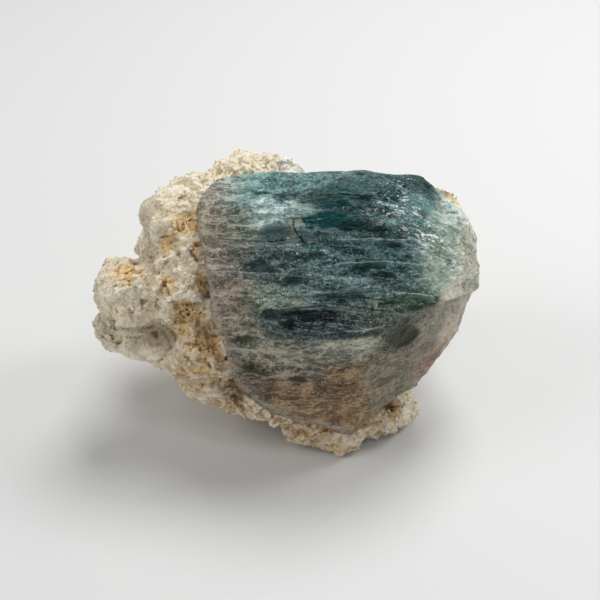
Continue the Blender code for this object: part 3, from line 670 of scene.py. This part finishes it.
matrix = {
    "grain": 0.29,
    "softening": 4,
    "swell": {"size": 2.8, "height": 0.5},
    "flats": {"size": 1.5, "lean": 0.62},
    "rough": {"size": 1.6, "height": 0.45, "patches": 3.1},
    "cracks": {"size": 2.6, "depth": 0.5, "bends": 0.9, "patches": 2.1},
    "sugar": {"size": 0.62, "height": 0.2},
    "crumbs": {"size": 0.8, "lean": 0.3},
    "leaves": {"width": 1.15, "height": 0.3, "below": 21, "dip": 0.3, "waves": 4},
    "pores": {"size": 0.85, "depth": 0.3, "radius": 0.42},
    "grains": {"count": 8000, "radius": (0.08, 0.26), "seed": 7, "stain": (0.72, 0.48, 0.2)},
    # points nearer than this to the crystal are pressed onto it, just past its surface
    "seat": {"reach": 0.75, "overlap": 0.15},
    # extra grains, and larger ones, hide the border with the crystal; none stand closer than clear
    "border": {"from": 0.15, "to": 0.75, "oneIn": 5, "larger": 1.4, "clear": 0.12},
    "levelling": 8,  # rounds of smoothing that hollows and ridges are measured against
    "tints": {
        "ivory": (240, 224, 188), "bone": (247, 232, 199), "putty": (230, 214, 180),
        "honey": (232, 194, 140), "sedge": (190, 176, 136), "dun": (216, 182, 132),
        "chalk": (250, 250, 245), "cream": (250, 238, 210),
    },
    "zones": {
        "upper lobe": ((-13.6, 5.1, 32.7), (5, 6, 4), "ivory", 0.5),
        "grey side": ((-18.5, -0.9, 32.8), (2.6, 6, 5), "putty", 0.5),
        "left lobe": ((-21.9, -8.9, 23.5), (5, 5, 5), "bone", 0.6),
        "lobe top": ((-22.3, -6.1, 26.2), (3, 2, 1.2), "honey", 0.2),
        "upper rim": ((-19.8, 0.8, 32), (1.5, 5, 4), "sedge", 0.1),
        "left rim": ((-26.8, -7.8, 23), (1.3, 4, 4), "sedge", 0.1),
        "middle": ((-14.4, -7.1, 27.4), (3, 3, 3), "bone", 0.5),
        "shelf": ((-20, -9.6, 16.4), (6, 4, 1.8), "cream", 0.3),
        "shelf tip": ((-25.4, -8.6, 17), (2, 3, 2), "sedge", 0.1),
        "low lobe": ((-12, -13.8, 13.8), (5, 4, 4), "dun", 0.4),
        "low tail": ((-8.8, -13.7, 9.5), (5, 4, 4), "dun", 0.4),
        "back knob": ((-5, 11.5, 32.6), (5, 5, 3), "ivory", 0.5),
        "clear grains": ((0.5, 12.5, 32), (2.2, 3, 2), "chalk", 1),
        "right toe": ((16.8, -10.2, 5), (3, 3, 3), "bone", 0.6),
        "front toe": ((7.3, -16.4, 3.1), (5, 3, 3), "dun", 0.4),
        "crumb": ((20.6, 6.5, 28), (5, 5, 5), "bone", 0.5),
        "rear": ((-2, 17, 18), (8, 6, 8), "bone", 0.5),
        "rear left": ((-16, 12, 24), (8, 6, 8), "putty", 0.4),
        "rear right": ((14, 14, 22), (8, 6, 8), "ivory", 0.6),
        "rear foot": ((4, 13, 8), (12, 6, 4), "dun", 0.3),
        "sole": ((0, 0, 0), (20, 14, 3), "dun", 0.4),
    },
    # smoother places, by the same measures as the ochre below
    "smooth": {
        "shelf": ((-21, -10, 15.6), (8, 5, 2.6), 1),
        "low lobe": ((-12, -14, 12), (6, 4, 3), 0.9),
        "upper lobe": ((-18.6, 2, 32.6), (4, 7, 6), 1),
        "left lobe": ((-26, -7.6, 23), (3.6, 6, 6), 1),
        "knob": ((-4, 12, 34.6), (7, 5, 2.4), 0.7),
        "front toe": ((5, -16, 2.6), (6, 3, 3), 0.9),
        "toe": ((18, -9.6, 6), (3, 3, 3), 0.8),
        "rear": ((8, 16, 22), (6, 4, 5), 0.6),
    },
    # painted shade in dark crevices, pockets and holes
    "shades": {
        "over shelf": ((-19.6, -9, 18.9), (3.6, 2, 0.6), 0.7),
        "pocket": ((-12.4, -9.4, 23.2), (2.2, 1.2, 0.5), 0.6),
        "pocket left": ((-15.2, -9.4, 20.6), (0.9, 1, 0.7), 0.6),
        "lobe hole": ((-16.8, -8.1, 25.2), (0.5, 0.8, 0.5), 0.9),
        "toe": ((14.2, -10.9, 4.4), (1.2, 1.6, 1.4), 0.8),
        "crumb": ((22.2, 6.2, 30.8), (0.5, 0.6, 0.5), 0.95),
    },
    # ochre: middle, reach, strength
    "ochre": {
        "saddle": ((-13.4, -1.9, 31), (3, 2.2, 2.2), 0.8),
        "side": ((-16.1, -3.9, 29), (2.4, 2.2, 2.6), 0.6),
        "edge": ((-11.6, -4.6, 29.2), (1.7, 1.6, 2.4), 0.7),
        "lobe": ((-22.3, -6.1, 26.2), (3.2, 2.2, 1.2), 0.85),
        "holes": ((-16.3, -8.1, 25.6), (2, 1.6, 1.6), 0.8),
        "hollow": ((-11.4, -7.1, 24.8), (1.8, 1.8, 2.2), 0.8),
        "pocket": ((-13.5, -9.3, 21.8), (3, 2.4, 2.2), 1),
        "under pocket": ((-15.3, -10, 19.2), (2.6, 2.2, 2), 0.8),
        "porous": ((-11.3, -12, 17.7), (2.9, 2.2, 1.7), 1),
        "streak": ((-12, -13.3, 15.2), (2, 1.5, 0.9), 0.6),
        "tail": ((-8.8, -13.7, 9.5), (2.2, 2, 1.3), 0.5),
        "toe": ((14.8, -10.6, 4.2), (1.6, 2, 2), 1),
        "crumb": ((22.2, 6.2, 30.6), (1.5, 1.5, 1.3), 0.8),
        "rear high": ((8, 14.6, 25), (2.6, 3, 2), 0.7),
        "rear left": ((-16, 10, 24), (2.6, 3, 2.2), 0.75),
        "rear low": ((3, 12, 8), (4, 4, 2), 0.65),
        "rear pocket": ((-9, 15, 19.4), (3, 3, 2.6), 0.8),
        "rear slot": ((4, 15, 15.4), (3, 3, 2.6), 0.7),
        "left pocket": ((-19, 0, 19.4), (2.4, 3, 2.4), 0.7),
    },
}


def strongest(points, places):
    total = np.zeros(len(points))
    for at, reach, strength in places.values():
        total = np.maximum(total, strength * near(points, at, reach))
    return total


def matrixHeight(point, smooth):
    swell, rough, cracks, sugar, leaves = (
        matrix[name] for name in ("swell", "rough", "cracks", "sugar", "leaves"))
    height = swell["height"] * noise.noise(point / swell["size"])
    for flats in (matrix["flats"], matrix["crumbs"]):
        middle = noise.voronoi(point / flats["size"])[1][0]
        lean = noise.cell_vector(middle * 9) - Vector((0.5, 0.5, 0.5))
        height += flats["lean"] * lean.dot(point / flats["size"] - middle) * (1 - 0.65 * smooth)
    patchy = 0.95 + 1.6 * noise.noise(point / rough["patches"] + Vector((0, 9, 0)))
    patchy = min(1.4, max(0.5, patchy)) * (1 - 0.8 * smooth)
    height += patchy * rough["height"] * noise.fractal(point / rough["size"], 0.7, 2.2, 4)
    crooked = point + 0.5 * noise.noise_vector(point / cracks["bends"])
    ridge = abs(noise.noise(crooked / cracks["size"] + Vector((4, 0, 0))))
    gaping = 5 * noise.noise(point / cracks["patches"] + Vector((0, 0, 6))) + 0.3
    gaping = min(1, max(0, gaping))
    height -= cracks["depth"] * max(0, 1 - ridge / 0.07) * gaping
    grain = noise.voronoi(point / sugar["size"])[0][0]
    height += patchy * sugar["height"] * (0.5 - grain)
    # thin leaves, dipping to the right, low on the left
    level = point.z + leaves["dip"] * point.x + 1.6 * noise.noise(point / leaves["waves"])
    level = level / leaves["width"]
    low = min(1, max(0, (leaves["below"] - point.z) / 3)) * min(1, max(0, -point.x / 5))
    return height + low * leaves["height"] * (level % 1 - 0.5)


def poreDepth(point):
    pores = matrix["pores"]
    nearest = noise.voronoi(point / pores["size"])[0][0]
    return pores["depth"] * max(0, 1 - (nearest / pores["radius"]) ** 2)


def pressOnto(piece, other, reach, overlap):
    # points facing the other piece across the contact gap are brought just past its surface
    tree = BVHTree.FromObject(other, bpy.context.evaluated_depsgraph_get())
    points = pointsOf(piece)
    for index, point in enumerate(points):
        found, normal, _, _ = tree.find_nearest(Vector(point) * mm, reach * mm)
        if found is not None:
            points[index] = np.array(found - normal * overlap * mm) / mm
    setPoints(piece, points)


def matrixStone():
    s = Shader(bpy.data.materials.new("matrixRock"))
    place = s.place()
    body = s.painted("bodyColour", "Color")
    ochre = s.painted("ochre")
    pore = s.painted("pore")
    pale = s.painted("pale")
    hollow = s.painted("hollow")

    patch = s.noise(place, 2.2, 4, 0.6)
    colour = s.mix(patch.step(0.38, 0.66) * 0.55, body, (0.8, 0.73, 0.6, 1))
    grey = s.noise(s.bent(place, 3, 1), 1.3, 4, 0.7).step(0.54, 0.68)
    colour = s.mix(grey * 0.45, colour, (0.28, 0.235, 0.16, 1))
    sugar = s.lots(place, 0.4)
    colour = s.mix(sugar.step(0.55, 0.95) * 0.55 * (pale * 0.8 + 0.35), colour, (0.93, 0.91, 0.84, 1))
    colour = s.mix(sugar.step(0.42, 0) * 0.22, colour, (0.28, 0.22, 0.14, 1))

    spread = ochre * 1.4 + (s.noise(place, 1.7, 5, 0.75) - 0.5) * 2.2 - 0.4
    stain = (spread.step(0, 0.45) + s.noise(place, 2.6, 5, 0.75).step(0.6, 0.7) * 0.4).held()
    fresh = s.noise(place, 0.5, 3, 0.7)
    ochreColour = s.mix(fresh.step(0.32, 0.56), (0.6, 0.32, 0.09, 1), (0.96, 0.68, 0.31, 1))
    colour = s.mix(stain * 0.84, colour, ochreColour)
    # painted shade: small dark holes in the strong ochre, with a dent in the bump to match
    hole = s.cells(s.bent(place, 0.6, 0.3), 0.66).step(0.36, 0.26)
    hole = hole * ochre.step(0.62, 0.8) * spread.step(0.1, 0.3)
    colour = s.mix(hole * 0.85, colour, (0.08, 0.035, 0.012, 1))
    # painted shade in hollows and painted highlight on ridges, from how far each point lies below its
    # neighbourhood
    colour = s.mix(hollow.step(0.03, 0.3) * (0.55 - ochre * 0.25), colour, (0.25, 0.17, 0.09, 1))
    colour = s.mix(hollow.step(-0.03, -0.22) * 0.55, colour, (0.92, 0.89, 0.8, 1))
    # painted shade inside the pores sunk into the ochre
    colour = s.mix(pore.step(0.2, 1) * 0.75, colour, (0.12, 0.055, 0.018, 1))
    # painted shade: the listed crevices, pockets and holes darkened, broken up by noise
    shaded = s.painted("shaded") * s.noise(place, 1.2, 4, 0.7).step(0.3, 0.5)
    colour = s.mix(shaded, colour, (0.1, 0.07, 0.04, 1))

    relief = s.leaning(place, 0.42) * 0.4 + s.noise(place, 0.3, 4, 0.7) * 0.22 - hole * 0.3
    bump = s.node("Bump", {}, {"Strength": 1, "Distance": mm, "Height": relief})
    rough = (0.6 - sugar.step(0.75, 1) * 0.3 + stain * 0.2).held()
    surface = s.node("BsdfPrincipled", {"subsurface_method": "RANDOM_WALK"}, {
        "Base Color": colour, "Roughness": rough, "IOR": 1.5, "Normal": bump,
        "Subsurface Weight": 0.15, "Subsurface Radius": (1, 0.8, 0.55), "Subsurface Scale": 0.6 * mm,
    })
    return s.finish(surface)


def makeMatrix(crystalPiece):
    piece = fineCopy("matrix", "matrixRock", matrix["grain"], matrix["softening"])
    points = pointsOf(piece)
    smooth = strongest(points, matrix["smooth"])
    heights = np.array([matrixHeight(Vector(p), share) for p, share in zip(points, smooth)])
    setPoints(piece, points + normalsOf(piece) * heights[:, None])
    points = pointsOf(piece)
    ochre = strongest(points, matrix["ochre"])
    pores = np.array([poreDepth(Vector(p)) for p in points]) * np.clip(ochre * 1.6 - 0.4, 0, 1)
    setPoints(piece, points - normalsOf(piece) * pores[:, None])
    pressOnto(piece, crystalPiece, matrix["seat"]["reach"], matrix["seat"]["overlap"])
    points = pointsOf(piece)
    points[:, 2] = np.maximum(points[:, 2], 0)  # nothing below the table
    setPoints(piece, points)
    colours, pale = zoneMix(points, matrix["zones"], matrix["tints"])
    paint(piece, "bodyColour", colours)
    paint(piece, "pale", pale)
    paint(piece, "ochre", ochre)
    paint(piece, "shaded", strongest(points, matrix["shades"]))
    paint(piece, "hollow", hollowness(piece, matrix["levelling"]))
    paint(piece, "pore", np.clip(pores / matrix["pores"]["depth"] * 1.4 - 0.2, 0, 1))
    piece.data.materials.append(matrixStone())
    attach(piece, "root")
    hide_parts("matrix")
    report("matrix", piece)
    makeGrains(piece, crystalPiece, colours, ochre, smooth)


def grainStone():
    s = Shader(bpy.data.materials.new("sugarGrains"))
    tone = s.painted("tone")
    colour = s.mix(tone, (0.2, 0.14, 0.08, 1), s.painted("bodyColour", "Color"))
    colour = s.mix(tone.step(0.8, 1) * 0.6, colour, (0.95, 0.93, 0.88, 1))
    relief = s.noise(s.place(), 0.2, 2) * 0.1
    bump = s.node("Bump", {}, {"Strength": 0.6, "Distance": mm, "Height": relief})
    surface = s.node("BsdfPrincipled", {}, {
        "Base Color": colour, "Roughness": 0.55 - tone.step(0.85, 1) * 0.35, "IOR": 1.5, "Normal": bump,
    })
    return s.finish(surface)


def makeGrains(rock, crystalPiece, colours, ochre, smooth):
    # loose-looking angular grains, half sunk in all but the smooth places
    sizes = matrix["grains"]
    border = matrix["border"]
    rng = np.random.default_rng(sizes["seed"])
    mould = bmesh.new()
    bmesh.ops.create_icosphere(mould, subdivisions=1, radius=1)
    corners = np.array([corner.co for corner in mould.verts])
    faces = np.array([[corner.index for corner in face.verts] for face in mould.faces])
    mould.free()
    rockPoints = pointsOf(rock)
    rockNormals = normalsOf(rock)
    gaps = gapsTo(rockPoints, crystalPiece, 1)
    chosen = rng.choice(len(rockPoints), sizes["count"], replace=False)
    edge = np.flatnonzero((gaps > border["from"]) & (gaps < border["to"]))
    extra = rng.choice(edge, len(edge) // border["oneIn"], replace=False)
    chosen = np.concatenate([chosen, extra])
    allCorners, allFaces, allColours, tones = [], [], [], []
    for index in chosen:
        point = rockPoints[index]
        radius = rng.uniform(*sizes["radius"])
        if gaps[index] < border["to"]:
            radius *= border["larger"]
        shape = corners * rng.uniform(0.7, 1.3, 3) * rng.uniform(0.8, 1.15, (len(corners), 1)) * radius
        turn = Quaternion(rng.normal(size=4)).normalized().to_matrix()
        tone = rng.uniform(0.6, 1)
        worn = rng.random() < smooth[index] * 0.95
        if worn or point[2] < 2 * radius or gaps[index] < border["clear"]:
            continue
        allFaces.append(faces + len(allCorners) * len(corners))
        allCorners.append(shape @ np.array(turn) + point + rockNormals[index] * radius * 0.1)
        stained = min(1, ochre[index] * 1.3)
        colour = colours[index] * (1 - stained) + np.array(sizes["stain"]) * stained
        allColours += [colour] * len(corners)
        tones += [tone] * len(corners)
    mesh = bpy.data.meshes.new("matrixGrains")
    mesh.from_pydata(np.concatenate(allCorners) * mm, [], np.concatenate(allFaces).tolist())
    piece = placed("matrixGrains", mesh)
    paint(piece, "bodyColour", np.array(allColours))
    paint(piece, "tone", tones)
    piece.data.materials.append(grainStone())
    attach(piece, "root")
    report("grains", piece)


table = {"across": 3000, "colour": (0.69, 0.695, 0.69)}

# white walls all round, under a dim ceiling
room = {"walls": (1, 0.985, 0.96, 1), "ceiling": (0.08, 0.085, 0.09, 1), "strength": 0.68}

lamps = {
    # where it stands, its width, its power in watts
    "window": ((76, 180, 366), 200, 1.02),
    "window right": ((250, 90, 230), 110, 0.34),
    "fill": ((-280, -50, 260), 200, 0.34),
    "spark front": ((30, -150, 320), 22, 0.035),
    "spark left": ((-60, -60, 330), 22, 0.03),
    "spark right": ((120, -100, 300), 22, 0.035),
    "spark top": ((60, 60, 340), 22, 0.035),
}

view = {"target": (1.7, -2.9, 18.5), "elevation": 40, "distance": 165, "lens": 70}


def makeTable():
    half = table["across"] / 2 * mm
    mesh = bpy.data.meshes.new("table")
    corners = [(-half, -half, 0), (half, -half, 0), (half, half, 0), (-half, half, 0)]
    mesh.from_pydata(corners, [], [(0, 1, 2, 3)])
    floor = placed("table", mesh)
    s = Shader(bpy.data.materials.new("tableTop"))
    place = s.place()
    speck = s.noise(place, 2.4, 2).step(0.72, 0.8)
    colour = s.mix(speck * 0.2, (*table["colour"], 1), (0.5, 0.5, 0.5, 1))
    surface = s.node("BsdfPrincipled", {}, {"Base Color": colour, "Roughness": 0.6})
    floor.data.materials.append(s.finish(surface))


def makeLight():
    world = bpy.data.worlds.new("room")
    bpy.context.scene.world = world
    s = Shader(world)
    height = s.node("SeparateXYZ", {}, {0: s.node("TexCoord", {}, {})}, 2)
    colour = s.mix(height.step(0.1, 0.9), room["walls"], room["ceiling"])
    glow = s.node("Background", {}, {"Color": colour, "Strength": room["strength"]})
    s.node("OutputWorld", {}, {"Surface": glow})
    middle = Vector(view["target"]) * mm
    for name, (at, width, power) in lamps.items():
        lamp = bpy.data.lights.new(name, "AREA")
        lamp.shape = "DISK"
        lamp.size = width * mm
        lamp.energy = power
        holder = placed(name, lamp)
        holder.location = Vector(at) * mm
        holder.rotation_euler = (middle - holder.location).to_track_quat("-Z", "Y").to_euler()


def makeCamera():
    lens = bpy.data.cameras.new("camera")
    lens.lens = view["lens"]
    lens.clip_start = 0.01
    camera = placed("camera", lens)
    tilt = radians(view["elevation"])
    back = Vector((0, -cos(tilt), sin(tilt)))
    camera.location = (Vector(view["target"]) + back * view["distance"]) * mm
    camera.rotation_euler = (pi / 2 - tilt, 0, 0)
    bpy.context.scene.camera = camera


makeCamera()
makeLight()
makeTable()
print("stage ready")
crystalPiece = makeCrystal()
makeMatrix(crystalPiece)

bpy.context.scene.view_settings.view_transform = "Standard"
